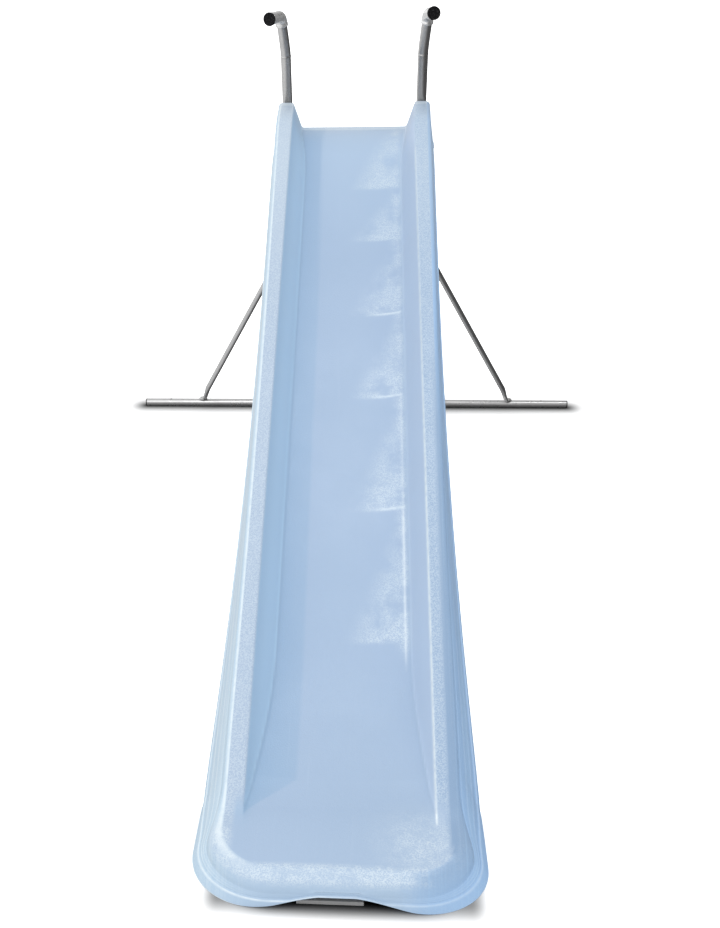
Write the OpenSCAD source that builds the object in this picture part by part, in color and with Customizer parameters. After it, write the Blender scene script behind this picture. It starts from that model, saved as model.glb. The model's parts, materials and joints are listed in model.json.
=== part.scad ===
// Free-standing straight slide: a moulded chute on a leaning ladder of steel tube.
// Millimetres, +Z up. The origin lies on the ground, midway between the two anchor
// holes of the rear ground bar. +X is to the right for someone at the exit looking
// back up the chute, +Y points to the ladder side, the rider travels towards -Y.

/* [Chute] */
// height of the starting deck above the ground
deck_h = 1135; // [1080:5:1150]
// length of the level deck before the crest
deck_flat = 60; // [30:5:90]
// radius of the crest below the deck
crest_r = 300; // [220:10:380]
// steepness of the straight run
slope = 31.5; // [29:0.5:34]
// radius of the curve that levels the rider out
dip_r = 920; // [800:20:1000]
// straight run-out after the curve
runout = 178; // [140:2:220]
// height of the sliding floor at the exit edge
exit_h = 68; // [60:1:80]
// half the trough width at the deck, measured at the inner rim line
trough_top = 183; // [175:1:188]
// half the trough width at the exit
trough_exit = 207; // [200:1:212]
// height of the side walls above the straight floor, measured plumb
wall_h = 142; // [120:1:160]
// height of the deck ears above the deck
ear_h = 84; // [60:1:100]
// moulded wall thickness
shell_t = 5; // [4:0.5:6]
// depth of the outer skirt below the rim, measured plumb
skirt = 150; // [120:5:170]
// plan radius of the left exit corner
left_corner = 112; // [100:1:120]
// plan radius of the right exit corner
right_corner = 90; // [80:1:98]
// rise of the arch under the exit lip, measured at the middle
arch_h = 29; // [20:1:31]

/* [Ladder frame] */
// lean of the ladder from plumb
lean = 18.5; // [16:0.5:21]
// outside diameter of the uprights and handrails
tube_d = 32; // [30:1:33]
// outside diameter of the ground bar
bar_d = 28; // [27:1:30]
// wall of the tubes
tube_t = 1.5; // [1.2:0.1:2]
// half the distance between the upright axes
stile_x = 214; // [211:1:216]
// overall length of the ground bar
bar_len = 1610; // [1500:10:1700]
// distance of each anchor hole from the middle
anchor_x = 710; // [660:5:720]
// diameter of the anchor holes
anchor_d = 9; // [8:0.5:11]
// distance of each brace foot from the middle
brace_x = 588; // [575:1:600]
// height where the braces meet the uprights
brace_z = 710; // [705:5:730]
// outside diameter of the brace tube
brace_d = 21; // [18:1:22]

/* [Handrails] */
// height of the joint between upright and handrail
joint_z = 1363; // [1340:1:1380]
// height of the handrail corner
grip_z = 1488; // [1460:1:1510]
// distance of the handrail corner from the middle
grip_x = 225; // [218:1:232]
// reach of the grip towards the rider
grip_reach = 78; // [60:1:110]
// outward turn of the left grip
left_turn = 22; // [0:1:30]
// outward turn of the right grip
right_turn = 10; // [0:1:30]
// upward tilt of the right grip
right_tilt = 7; // [0:1:12]
// outside diameter of the grip
grip_d = 39; // [38:1:42]

/* [Exit foot] */
// width of the folded foot under the lip
foot_w = 136; // [110:1:150]
// sideways shift of the foot from the middle
foot_x = -15; // [-20:1:20]

/* [View] */
// node to draw

/* [Hidden] */
$fn = 48;
eps = 0.01;
gap = 0.3;
steps = 4;
tr = tube_d/2;
ti = tr - tube_t;
br = bar_d/2;
bi = br - tube_t;
exit_slope = 3;
rim_r = 12;
lip_r = 38;
band_h = 20;
wave_l = 255;
wave_a = 0.9;
rib_t = 3;
rear_corner = 6;
draft = tan(17);
apron = tan(8);
band_top = 223;
band_grow = 20;
side_top = 22;
side_grow = 42;
flare_q = 1990;
ear_splay = 10;

// ---- small helpers ----
function unit(v) = v/norm(v);
function cross3(a, b) = [a[1]*b[2] - a[2]*b[1], a[2]*b[0] - a[0]*b[2], a[0]*b[1] - a[1]*b[0]];
function clamp(v, lo, hi) = max(lo, min(hi, v));
function ease(v) = let (u = clamp(v, 0, 1)) u*u*(3 - 2*u);
function soft_max(a, b, k) = (a + b + sqrt((a - b)*(a - b) + k*k))/2;
function soft_min(a, b, k) = (a + b - sqrt((a - b)*(a - b) + k*k))/2;

// a point of the leaning ladder plane at sideways position x and height z
function on_ladder(x, z) = [x, -(z - br)*tan(lean), z];
stile_dir = [0, -sin(lean), cos(lean)];
stile_back = [0, cos(lean), sin(lean)];

module aim(p, dir) {
    translate(p)
        rotate([0, acos(dir[2]/norm(dir)), atan2(dir[1], dir[0])])
            children();
}

module rod(a, b, r) {
    aim(a, b - a)
        cylinder(h = norm(b - a), r = r);
}

// ---- chute profile: height of the floor and of the rim along the run q ----
q1 = deck_flat + crest_r*sin(slope);
z1 = deck_h - crest_r*(1 - cos(slope));
fall = z1 - exit_h - dip_r*(cos(exit_slope) - cos(slope)) - runout*sin(exit_slope);
q2 = q1 + fall/tan(slope);
z2 = z1 - fall;
q3 = q2 + dip_r*(sin(slope) - sin(exit_slope));
z3 = z2 - dip_r*(cos(exit_slope) - cos(slope));
run = q3 + runout*cos(exit_slope);

function line_z(q) = z1 - (q - q1)*tan(slope);
function crest_z(q) = deck_h - crest_r + sqrt(crest_r*crest_r - pow(q - deck_flat, 2));
function dip_z(q) = let (c = q2 + dip_r*sin(slope))
    z2 + dip_r*cos(slope) - sqrt(dip_r*dip_r - pow(q - c, 2));
function floor_z(q) =
    q < deck_flat ? deck_h :
    q < q1 ? crest_z(q) :
    q < q2 ? line_z(q) :
    q < q3 ? dip_z(q) :
    z3 - (q - q3)*tan(exit_slope);

// rim: level at the ears, parallel to the straight run, then merging into the run-out
function rim_z(q) =
    soft_max(soft_min(line_z(q) + wall_h, deck_h + ear_h, 30), floor_z(q), 16);
function splay(q) = ear_splay*pow(clamp(1 - q/300, 0, 1), 2);
function inner_w(q) = trough_top + (trough_exit - trough_top)*q/run + splay(q);
function flare(q) = pow(soft_min(q/flare_q, 1, 0.05), 3);
function full_w(q) = band_top + band_grow*flare(q) + splay(q)*0.6;

// sink marks of the stiffening ribs, faded out towards the deck and the exit
function wave(q) = ease((q - 200)/200)*ease((run - 250 - q)/200);

// height of the upper face at distance ax from the middle
function top_z(ax, q) =
    let (w = inner_w(q), zf = floor_z(q), zr = rim_z(q), h = zr - zf,
         flat = w - (w - 84)*clamp(h/54, 0, 1),
         bed = soft_max(0, (ax - flat)*apron*ease(q/240)*clamp(h/100, 0, 1), 4*ease(q/240)),
         side = h - (w - ax)/draft,
         dish = soft_max(bed, side, 4 + 9*ease(q/240)),
         sink = wave_a*wave(q)*(1 + cos(360*q/wave_l))*(1 - ease((ax - 120)/60)))
    zf + soft_min(dish, h, min(7, h/2) + eps) - sink;

// ---- chute mesh stations ----
rear_steps = 2;
front_steps = 6;
main_steps = 51;
q_in = rear_corner;
q_out = run - left_corner;
stations = concat(
    [for (i = [0:rear_steps - 1]) rear_corner*(1 - cos(90*i/rear_steps))],
    [for (i = [0:main_steps]) q_in + (q_out - q_in)*i/main_steps],
    [for (i = [1:front_steps]) q_out + left_corner*sin(90*i/front_steps)]);
ni = len(stations) - 1;
cross = [0, 0.22, 0.42, 0.6, 0.72, 0.79, 0.85, 0.92, 0.985, 1.02];
half = len(cross) + 1;
nj = 2*half;

// outline half width, rounded in plan at the rear and exit corners
function corner_cut(u, r) = r*(1 - sqrt(1 - pow(clamp(u/r, 0, 1), 2)));
function edge_w(q, s) = full_w(q) - corner_cut(q_in - q, rear_corner)
    - corner_cut(q - run + (s < 0 ? left_corner : right_corner), s < 0 ? left_corner : right_corner);
function cross_x(n, q, s) =
    (n < len(cross) ? cross[n]*inner_w(q)
     : n == len(cross) ? (1.02*inner_w(q) + full_w(q))/2
     : full_w(q))*edge_w(q, s)/full_w(q);

// front face line of the uprights, and the rear edge of the upper face that stays clear of it
function stile_y(z) = -(z - br)*tan(lean) - tr/cos(lean) - gap;
function chute_y(q, z) = stile_y(deck_h) - rim_r*(1 - tan(lean)) - q
    - (z - deck_h)*tan(lean)*clamp(1 - q/300, 0, 1);

function top_point(i, j) =
    let (q = stations[i], s = j < half ? -1 : 1, x = cross_x(abs(j - half), q, s),
         z = top_z(x, q))
    [s*x, chute_y(q, z), z];

// matching point of the lower face, offset square to the section
function low_point(i, j) =
    let (q = stations[i], s = j < half ? -1 : 1, x = cross_x(abs(j - half), q, s),
         z = top_z(x, q), d = (top_z(x + 0.5, q) - top_z(max(0, x - 0.5), q)),
         m = norm([d, 1]),
         rib = rib_t*wave(q)*pow((1 + cos(360*q/wave_l))/2, 3)*(1 - ease((x - 100)/50)),
         t = shell_t/cos(slope) + rib,
         zz = z - t/m)
    [s*(x + (x > 0.1 ? t*d/m : 0)), chute_y(q, zz), zz];

// perimeter of the grid, counted round the outline
np = 2*(ni + nj);
function ring_i(p) = p < ni ? p : p < ni + nj ? ni : p < 2*ni + nj ? 2*ni + nj - p : 0;
function ring_j(p) = p < ni ? 0 : p < ni + nj ? p - ni : p < 2*ni + nj ? nj : np - p;
function wrap(p) = (p + np) % np;
function rim_point(p) = top_point(ring_i(wrap(p)), ring_j(wrap(p)));
ring_top = [for (p = [0:np - 1]) rim_point(p)];
ring_low = [for (p = [0:np - 1]) low_point(ring_i(p), ring_j(p))];
function plan_xy(p) = [ring_top[wrap(p)][0], -stations[ring_i(wrap(p))]];
function plan_out(p) =
    let (d = plan_xy(p + 1) - plan_xy(p - 1)) unit([d[1], -d[0], 0]);

// height of the skirt's bottom edge, without and with the arch under the lip
function sill_z(q) = max(0, soft_min(line_z(q) + wall_h, deck_h + ear_h, 30) - skirt);
function arch(x) = min(1, 1.1*pow(cos(90*clamp(abs(x)/195, 0, 1)), 2));
function foot_z(q, x) = max(sill_z(q), arch_h*arch(x)*ease((q - q_out)/60));
function edge_r(q, h) = min(rim_r + (lip_r - rim_r)*ease((q - q_out + 110)/150), h - band_h - 6);
function side_out(q, x, front) = (side_top + side_grow*flare(q))
    *(1 - (0.27 + 0.15*arch(x))*pow(front, 4)*ease((q - q_out)/30));

// one skirt point, by zone: 0 round the rim edge (part = angle), 1 down the face to the
// bottom band, 2 down the band; bump pushes it outwards, keep is its least height over the arch
function skirt_point(p, low, zone, part, bump, keep) =
    let (b = low ? ring_low[p] : ring_top[p], q = stations[ring_i(p)],
         o = plan_out(p), sill = sill_z(q), t = low ? shell_t : 0,
         r = edge_r(q, ring_top[p][2] - sill) - t,
         za = b[2] - r, zb = sill + band_h,
         z = zone == 0 ? b[2] - r*(1 - cos(part))
             : max(foot_z(q, b[0]) + keep, zone == 1 ? za + (zb - za)*part : zb - part*band_h),
         wide = r + (side_out(q, b[0], min(0, o[1])) - t - r)*clamp((za - z)/(za - sill), 0, 1),
         back = q > q_in ? 0 : pow(max(0, o[1]), 2),
         rear = stile_y(zone == 0 ? za : z) - (low ? shell_t/cos(lean) : 0) - b[1],
         reach = (wide + bump)*(1 - back) + rear*back)
    [b[0], b[1], z] + o*reach*(zone == 0 ? sin(part) : 1);

// skirt rings from the rim edge down: [zone, part, outward bump, least height over the arch]
outer_rings = [[0, 35, 0, 0], [0, 65, 0, 0], [1, 0, 0, 7], [1, 0.44, 0, 6], [1, 0.48, 2.5, 5],
               [1, 1, 1.5, 4], [2, 0.12, 6, 3], [2, 1, 6, 0]];
inner_rings = [[0, 45, 0, 0], [1, 0, 0, 5], [2, 1, 0, 0]];
no = len(outer_rings);
nn = len(inner_rings);

grid = (ni + 1)*(nj + 1);
function g(i, j) = i*(nj + 1) + j;
function outer_id(k, p) = k == 0 ? g(ring_i(wrap(p)), ring_j(wrap(p))) : 2*grid + (k - 1)*np + wrap(p);
function inner_id(k, p) = k == 0 ? grid + g(ring_i(wrap(p)), ring_j(wrap(p)))
    : 2*grid + (no + k - 1)*np + wrap(p);
function quad(a, b, c, d) = [[a, b, c], [a, c, d]];

chute_points = concat(
    [for (i = [0:ni], j = [0:nj]) top_point(i, j)],
    [for (i = [0:ni], j = [0:nj]) low_point(i, j)],
    [for (r = outer_rings, p = [0:np - 1]) skirt_point(p, false, r[0], r[1], r[2], r[3])],
    [for (r = inner_rings, p = [0:np - 1]) skirt_point(p, true, r[0], r[1], r[2], r[3])]);

chute_faces = concat(
    [for (i = [0:ni - 1], j = [0:nj - 1])
        each quad(g(i, j), g(i, j + 1), g(i + 1, j + 1), g(i + 1, j))],
    [for (i = [0:ni - 1], j = [0:nj - 1])
        each quad(grid + g(i, j), grid + g(i + 1, j), grid + g(i + 1, j + 1), grid + g(i, j + 1))],
    [for (k = [0:no - 1], p = [0:np - 1])
        each quad(outer_id(k, p), outer_id(k, p + 1), outer_id(k + 1, p + 1), outer_id(k + 1, p))],
    [for (k = [0:nn - 1], p = [0:np - 1])
        each quad(inner_id(k, p), inner_id(k + 1, p), inner_id(k + 1, p + 1), inner_id(k, p + 1))],
    [for (p = [0:np - 1])
        each quad(outer_id(no, p), outer_id(no, p + 1), inner_id(nn, p + 1), inner_id(nn, p))]);

// ---- shared fasteners, built along +Z with the clamped face at z = 0 ----
module hex_bolt(d, len) {
    union() {
        cylinder(h = len, r = d/2);
        translate([0, 0, -1.2])
            cylinder(h = 1.2, r = d*0.95);
        translate([0, 0, -1.2 - d*0.62])
            cylinder(h = d*0.62 + eps, r = d*0.9, $fn = 6);
    }
}

module hex_nut(d) {
    difference() {
        cylinder(h = d*0.8, r = d*0.9, $fn = 6);
        translate([0, 0, -1])
            cylinder(h = d*0.8 + 2, r = d/2 + 0.1);
    }
}

module dome_cap(d) {
    difference() {
        union() {
            cylinder(h = d*0.9, r = d*1.15);
            translate([0, 0, d*0.9])
                cylinder(h = d*0.45, r1 = d*1.15, r2 = d*0.7);
        }
        translate([0, 0, -1])
            cylinder(h = d*0.95 + 1, r = d*0.93);
    }
}

// ---- chute and its fastenings ----
deck_bolt_z = deck_h - 40;
strap_t = 4;
strap_h = 34;
washer_t = 1.6;
bolt_run = tr + gap/cos(lean) + shell_t;
lip_y = chute_y(run, exit_h);
stud_y = lip_y + 66;
stud_pitch = 80;
under_z = floor_z(run - 66) - shell_t/cos(slope);
foot_t = 4;

module chute() {
    color([0.68, 0.78, 0.9])
        difference() {
            polyhedron(points = chute_points, faces = chute_faces, convexity = 8);
            for (s = [-1, 1])
                aim(on_ladder(s*stile_x, deck_bolt_z), -stile_back)
                    cylinder(h = 32, r = 4.2);
            for (s = [-1, 1])
                translate([foot_x + s*stud_pitch/2, stud_y, under_z - 20])
                    cylinder(h = 23, r = 4.1);
        }
}

// flat bar behind the rear skirt, spreading the pull of the two deck bolts
module deck_strap() {
    color([0.62, 0.64, 0.66])
        translate(on_ladder(0, deck_bolt_z))
            rotate([lean, 0, 0])
                difference() {
                    translate([-stile_x - 12, -bolt_run - gap - strap_t, -strap_h/2])
                        cube([2*stile_x + 24, strap_t, strap_h]);
                    for (s = [-1, 1])
                        translate([s*stile_x, -bolt_run - strap_t - 2, 0])
                            rotate([-90, 0, 0])
                                cylinder(h = strap_t + 4, r = 4.2);
                }
}

module at_deck_bolt(reach) {
    for (s = [-1, 1])
        aim(on_ladder(s*stile_x, deck_bolt_z) - stile_back*reach, -stile_back)
            children();
}

module deck_bolts() {
    color([0.7, 0.71, 0.72])
        at_deck_bolt(-tr - gap)
            hex_bolt(8, 2*tr + shell_t + strap_t + 14);
}

module deck_washers() {
    color([0.72, 0.73, 0.74])
        at_deck_bolt(bolt_run + gap + strap_t + 0.05)
            difference() {
                cylinder(h = washer_t, r = 8);
                translate([0, 0, -1])
                    cylinder(h = washer_t + 2, r = 4.2);
            }
}

module deck_nuts() {
    color([0.7, 0.71, 0.72])
        at_deck_bolt(bolt_run + gap + strap_t + washer_t + 0.1)
            hex_nut(8);
}

// ---- ladder frame ----
spigot_len = 62;
spigot_r = ti - 1.2;
joint = on_ladder(stile_x, joint_z);
corner = on_ladder(grip_x, grip_z);
rail_dir = unit(corner - joint - stile_dir*1.5);

module mirror_left(side) {
    mirror([side < 0 ? 1 : 0, 0, 0])
        children();
}

module ground_bar() {
    color([0.72, 0.73, 0.74])
        difference() {
            union() {
                translate([-bar_len/2, 0, br])
                    rotate([0, 90, 0])
                        cylinder(h = bar_len, r = br);
                for (s = [-1, 1])
                    rod([s*stile_x, 0, br], [s*stile_x, 0, br] + stile_dir*(br + spigot_len), spigot_r);
            }
            translate([-bar_len/2 - 1, 0, br])
                rotate([0, 90, 0])
                    cylinder(h = bar_len + 2, r = bi);
            for (s = [-1, 1]) {
                rod([s*stile_x, 0, br] + stile_dir*(br + 2),
                    [s*stile_x, 0, br] + stile_dir*(br + spigot_len + 2), spigot_r - 2);
                translate([s*anchor_x, 0, -1])
                    cylinder(h = bar_d + 2, r = anchor_d/2);
                translate([s*brace_x, 0, br])
                    cylinder(h = bar_d, r = 4.2);
                rod([s*(stile_x - 30), 0, br] + stile_dir*(br + 36),
                    [s*(stile_x + 30), 0, br] + stile_dir*(br + 36), 3.2);
            }
        }
}

module bar_plug(side) {
    color([0.08, 0.08, 0.09])
        translate([side*(bar_len/2 + gap/2), 0, br])
            rotate([0, side*90, 0])
                difference() {
                    union() {
                        cylinder(h = 2.5, r = br - 0.2);
                        translate([0, 0, -20])
                            cylinder(h = 20 + eps, r = bi - 0.1);
                        translate([0, 0, 2.5 - eps])
                            cylinder(h = 1.5, r1 = br - 0.2, r2 = br - 3);
                    }
                    translate([0, 0, -21])
                        cylinder(h = 20, r = bi - 2.5);
                }
}

module left_bar_plug() {
    bar_plug(-1);
}

module right_bar_plug() {
    bar_plug(1);
}

step_z = [for (k = [1:steps]) deck_h*k/(steps + 1)];
tread_t = 2.5;
flange_h = 50;
function step_bolt(k, n) = on_ladder(0, step_z[k] - (n == 0 ? 16 : 38));

module cross_hole(p, r) {
    translate([stile_x - 40, p[1], p[2]])
        rotate([0, 90, 0])
            cylinder(h = 80, r = r);
}

module upright() {
    foot = [stile_x, 0, br];
    color([0.7, 0.71, 0.72])
        difference() {
            rod(foot + stile_dir*10, joint, tr);
            rod(foot + stile_dir*9, joint + stile_dir, ti);
            translate([stile_x - 40, 0, br])
                rotate([0, 90, 0])
                    cylinder(h = 80, r = br + gap);
            cross_hole(foot + stile_dir*(br + 36), 3.2);
            cross_hole(on_ladder(stile_x, brace_z), 4.2);
            for (k = [0:steps - 1], n = [0, 1])
                cross_hole(step_bolt(k, n), 3.2);
            aim(on_ladder(stile_x, deck_bolt_z) - stile_back*30, stile_back)
                cylinder(h = 60, r = 4.2);
            aim(joint - stile_dir*28, stile_back)
                cylinder(h = 30, r = 2.5);
        }
}

module left_upright() {
    mirror_left(-1)
        upright();
}

module right_upright() {
    mirror_left(1)
        upright();
}

// ---- braces: tube with both ends pressed flat ----
tab_t = 2.6;
foot_pt = [brace_x, 0, bar_d + gap + tab_t/2];
head_pt = on_ladder(stile_x + tr + gap + tab_t/2, brace_z);
brace_dir = unit(head_pt - foot_pt);

tab_r = 12;
neck = 58;

// one end pressed flat: a tab round the bolt at p with normal n, fading into the tube
module flat_end(p, along, n) {
    a = unit(along - n*(along*n));
    b = cross3(n, a);
    multmatrix([[a[0], b[0], n[0], p[0]], [a[1], b[1], n[1], p[1]], [a[2], b[2], n[2], p[2]], [0, 0, 0, 1]]) {
        translate([0, 0, -tab_t/2])
            cylinder(h = tab_t, r = tab_r);
        translate([0, -tab_r + 1, -tab_t/2])
            cube([15, 2*tab_r - 2, tab_t]);
    }
    hull() {
        multmatrix([[a[0], b[0], n[0], p[0]], [a[1], b[1], n[1], p[1]], [a[2], b[2], n[2], p[2]], [0, 0, 0, 1]])
            translate([10.5, -tab_r + 1.4, -tab_t/2 + 0.2])
                cube([3, 2*tab_r - 2.8, tab_t - 0.4]);
        aim(p + along*neck, along)
            cylinder(h = 1.5, r = brace_d/2 - 0.3, $fn = 32);
    }
}

module brace() {
    color([0.72, 0.73, 0.74])
        difference() {
            union() {
                flat_end(foot_pt, brace_dir, [0, 0, 1]);
                flat_end(head_pt, -brace_dir, [1, 0, 0]);
                rod(foot_pt + brace_dir*neck, head_pt - brace_dir*neck, brace_d/2);
            }
            rod(foot_pt + brace_dir*(neck + 8), head_pt - brace_dir*(neck + 8), brace_d/2 - 1.5);
            translate(foot_pt - [0, 0, 10])
                cylinder(h = 20, r = 4.2);
            translate(head_pt - [10, 0, 0])
                rotate([0, 90, 0])
                    cylinder(h = 20, r = 4.2);
        }
}

module left_brace() {
    mirror_left(-1)
        brace();
}

module right_brace() {
    mirror_left(1)
        brace();
}

module brace_foot_bolts() {
    color([0.75, 0.76, 0.77])
        for (s = [-1, 1])
            translate([s*brace_x, 0, bar_d + gap + tab_t + 0.1])
                rotate([180, 0, 0])
                    hex_bolt(8, 22);
}

module brace_foot_nuts() {
    color([0.7, 0.71, 0.72])
        for (s = [-1, 1])
            translate([s*brace_x, 0, br + 3])
                hex_nut(8);
}

module brace_top_bolts() {
    color([0.75, 0.76, 0.77])
        for (s = [-1, 1])
            mirror_left(s)
                aim(head_pt + [tab_t/2 + 0.1, 0, 0], [-1, 0, 0])
                    hex_bolt(8, tab_t + tube_d + gap + 12);
}

module brace_top_nuts() {
    color([0.7, 0.71, 0.72])
        for (s = [-1, 1])
            mirror_left(s)
                aim(on_ladder(stile_x - tr - 0.1, brace_z), [-1, 0, 0])
                    hex_nut(8);
}

module spigot_bolts() {
    p = [0, 0, br] + stile_dir*(br + 36);
    color([0.75, 0.76, 0.77])
        for (s = [-1, 1])
            mirror_left(s)
                aim([stile_x + tr + 0.1, p[1], p[2]], [-1, 0, 0])
                    hex_bolt(6, tube_d + 9);
}

module spigot_nuts() {
    p = [0, 0, br] + stile_dir*(br + 36);
    color([0.7, 0.71, 0.72])
        for (s = [-1, 1])
            mirror_left(s)
                aim([stile_x - tr - 0.1, p[1], p[2]], [-1, 0, 0])
                    hex_nut(6);
}

// ---- handrails ----
// a plain tube with a reduced end that slides into the upright; the bead covers the turn
module handrail() {
    color([0.7, 0.71, 0.72])
        difference() {
            union() {
                rod(joint - stile_dir*60, joint + stile_dir*3, ti - 0.1);
                difference() {
                    union() {
                        translate(joint + stile_dir*1.5)
                            sphere(r = tr + 0.9);
                        rod(joint + stile_dir*1.5, corner - rail_dir*2, tr);
                    }
                    rod(joint - stile_dir*40, joint + stile_dir*0.2, tr + 8);
                }
            }
            rod(joint - stile_dir*61, joint + stile_dir*1.5, ti - 1.6);
            translate(joint + stile_dir*1.5)
                sphere(r = ti - 1.2);
            rod(joint + stile_dir*1.5, corner, ti - 1.6);
            aim(joint - stile_dir*28, stile_back)
                cylinder(h = 30, r = 2.1);
        }
}

module left_handrail() {
    mirror_left(-1)
        handrail();
}

module right_handrail() {
    mirror_left(1)
        handrail();
}

function grip_dir(turn, tilt) = [sin(turn)*cos(tilt), -cos(turn)*cos(tilt), sin(tilt)];

// cast elbow: a socket over the handrail, a ball at the corner and a hollow grip arm
module elbow(dir) {
    color([0.66, 0.67, 0.68])
        difference() {
            union() {
                rod(corner - rail_dir*30, corner, grip_d/2);
                translate(corner)
                    sphere(r = grip_d/2 + 0.5);
                rod(corner, corner + dir*grip_reach, grip_d/2);
            }
            rod(corner - rail_dir*31, corner - rail_dir*1.5, tr + 0.1);
            rod(corner + dir*24, corner + dir*(grip_reach + 1), grip_d/2 - 3);
        }
}

module left_elbow() {
    mirror_left(-1)
        elbow(grip_dir(left_turn, 0));
}

module right_elbow() {
    mirror_left(1)
        elbow(grip_dir(right_turn, right_tilt));
}

module grip_cap(dir) {
    color([0.08, 0.08, 0.09])
        aim(corner + dir*grip_reach, dir)
            difference() {
                union() {
                    translate([0, 0, -18])
                        cylinder(h = 18.2, r = grip_d/2 - 3.1);
                    translate([0, 0, 0.2])
                        cylinder(h = 3, r = grip_d/2 + 0.8);
                    translate([0, 0, 3.2 - eps])
                        cylinder(h = 1.4, r1 = grip_d/2 + 0.8, r2 = grip_d/2 - 0.8);
                }
                translate([0, 0, 3.4])
                    cylinder(h = 2, r = grip_d/2 - 4);
                translate([0, 0, -19])
                    cylinder(h = 17, r = grip_d/2 - 5.5);
            }
}

module left_grip_cap() {
    mirror_left(-1)
        grip_cap(grip_dir(left_turn, 0));
}

module right_grip_cap() {
    mirror_left(1)
        grip_cap(grip_dir(right_turn, right_tilt));
}

module rail_screws() {
    color([0.75, 0.76, 0.77])
        for (s = [-1, 1])
            mirror_left(s)
                aim(joint - stile_dir*28 + stile_back*(tr + 0.1), -stile_back) {
                    cylinder(h = 9, r = 2);
                    translate([0, 0, -2.2])
                        cylinder(h = 2.2 + eps, r1 = 3, r2 = 4.2);
                }
}

// ---- steps: folded steel treads with ribbed plastic covers ----
tread_w = 2*(stile_x - tr - gap);
tread_front = -48;
tread_back = 52;

module step(k) {
    y0 = on_ladder(0, step_z[k])[1];
    color([0.7, 0.71, 0.72])
        translate([0, y0, step_z[k]])
            difference() {
                union() {
                    translate([-tread_w/2, tread_front, -tread_t])
                        cube([tread_w, tread_back - tread_front, tread_t]);
                    for (y = [tread_front, tread_back - tread_t])
                        translate([-tread_w/2, y, -20])
                            cube([tread_w, tread_t, 20]);
                    for (s = [-1, 1])
                        translate([s*(tread_w/2 - tread_t/2) - tread_t/2, -20, -flange_h])
                            cube([tread_t, 52, flange_h]);
                }
                for (n = [0, 1])
                    translate([-tread_w/2 - 5, step_bolt(k, n)[1] - y0, step_bolt(k, n)[2] - step_z[k]])
                        rotate([0, 90, 0])
                            cylinder(h = tread_w + 10, r = 3.2);
                for (x = [-140, 0, 140])
                    translate([x, 2, -tread_t - 1])
                        cylinder(h = tread_t + 2, r = 3.2);
            }
}

module step_1() {
    step(0);
}

module step_2() {
    step(1);
}

module step_3() {
    step(2);
}

module step_4() {
    step(3);
}

pad_t = 4;

module step_pad(k) {
    y0 = on_ladder(0, step_z[k])[1];
    color([0.12, 0.12, 0.13])
        translate([0, y0, step_z[k] + 0.1])
            union() {
                translate([-tread_w/2 + 6, tread_front + 4, 0])
                    cube([tread_w - 12, tread_back - tread_front - 8, pad_t]);
                for (y = [tread_front + 12:11:tread_back - 12])
                    translate([-tread_w/2 + 14, y - 2.5, pad_t - eps])
                        cube([tread_w - 28, 5, 1.6]);
                for (x = [-140, 0, 140])
                    translate([x, 2, -tread_t - 0.3]) {
                        cylinder(h = tread_t + 1.3, r = 3);
                        translate([0, 0, -1.8])
                            cylinder(h = 1.8 + eps, r1 = 2.4, r2 = 4.2);
                    }
            }
}

module step_pad_1() {
    step_pad(0);
}

module step_pad_2() {
    step_pad(1);
}

module step_pad_3() {
    step_pad(2);
}

module step_pad_4() {
    step_pad(3);
}

module at_step_bolts(x, way) {
    for (s = [-1, 1], k = [0:steps - 1], n = [0, 1])
        mirror_left(s)
            aim([x, step_bolt(k, n)[1], step_bolt(k, n)[2]], [way, 0, 0])
                children();
}

module step_bolts() {
    color([0.75, 0.76, 0.77])
        at_step_bolts(tread_w/2 - tread_t - 0.1, 1)
            hex_bolt(6, tread_t + tube_d + gap + 5);
}

module step_nuts() {
    color([0.7, 0.71, 0.72])
        at_step_bolts(stile_x + tr + 0.1, 1)
            hex_nut(6);
}

module nut_caps() {
    color([0.08, 0.08, 0.09])
        at_step_bolts(stile_x + tr + 0.4, 1)
            dome_cap(6);
}

// ---- folded foot under the exit lip ----
module foot_bracket() {
    web_y = lip_y - 6;
    toe_y = lip_y - 30;
    top_z0 = under_z - 0.2 - foot_t;
    color([0.74, 0.75, 0.76])
        difference() {
            union() {
                translate([foot_x - foot_w/2, web_y, top_z0])
                    cube([foot_w, stud_y + 24 - web_y, foot_t]);
                translate([foot_x - foot_w/2, web_y, 0])
                    cube([foot_w, foot_t, top_z0 + foot_t]);
                translate([foot_x - foot_w/2, toe_y, 0])
                    cube([foot_w, stud_y - toe_y, foot_t]);
                translate([foot_x - foot_w/2, toe_y, 0])
                    cube([foot_w, foot_t, 9]);
            }
            for (s = [-1, 1])
                translate([foot_x + s*stud_pitch/2, stud_y, top_z0 - 1])
                    cylinder(h = foot_t + 2, r = 4.3);
        }
}

module foot_studs() {
    color([0.75, 0.76, 0.77])
        for (s = [-1, 1])
            translate([foot_x + s*stud_pitch/2, stud_y, under_z - 17])
                cylinder(h = 19.8, r = 4);
}

module foot_nuts() {
    color([0.7, 0.71, 0.72])
        for (s = [-1, 1])
            translate([foot_x + s*stud_pitch/2, stud_y, under_z - foot_t - 0.4 - 6.4])
                hex_nut(8);
}

chute();
deck_strap();
deck_bolts();
deck_washers();
deck_nuts();
ground_bar();
left_bar_plug();
right_bar_plug();
left_upright();
right_upright();
left_handrail();
right_handrail();
left_elbow();
right_elbow();
left_grip_cap();
right_grip_cap();
left_brace();
right_brace();
brace_foot_bolts();
brace_foot_nuts();
brace_top_bolts();
brace_top_nuts();
step_1();
step_2();
step_3();
step_4();
step_pad_1();
step_pad_2();
step_pad_3();
step_pad_4();
step_bolts();
step_nuts();
nut_caps();
spigot_bolts();
spigot_nuts();
rail_screws();
foot_bracket();
foot_studs();
foot_nuts();
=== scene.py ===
import bpy
import json
import math
import numpy as np
from mathutils import Vector, Matrix


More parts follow.
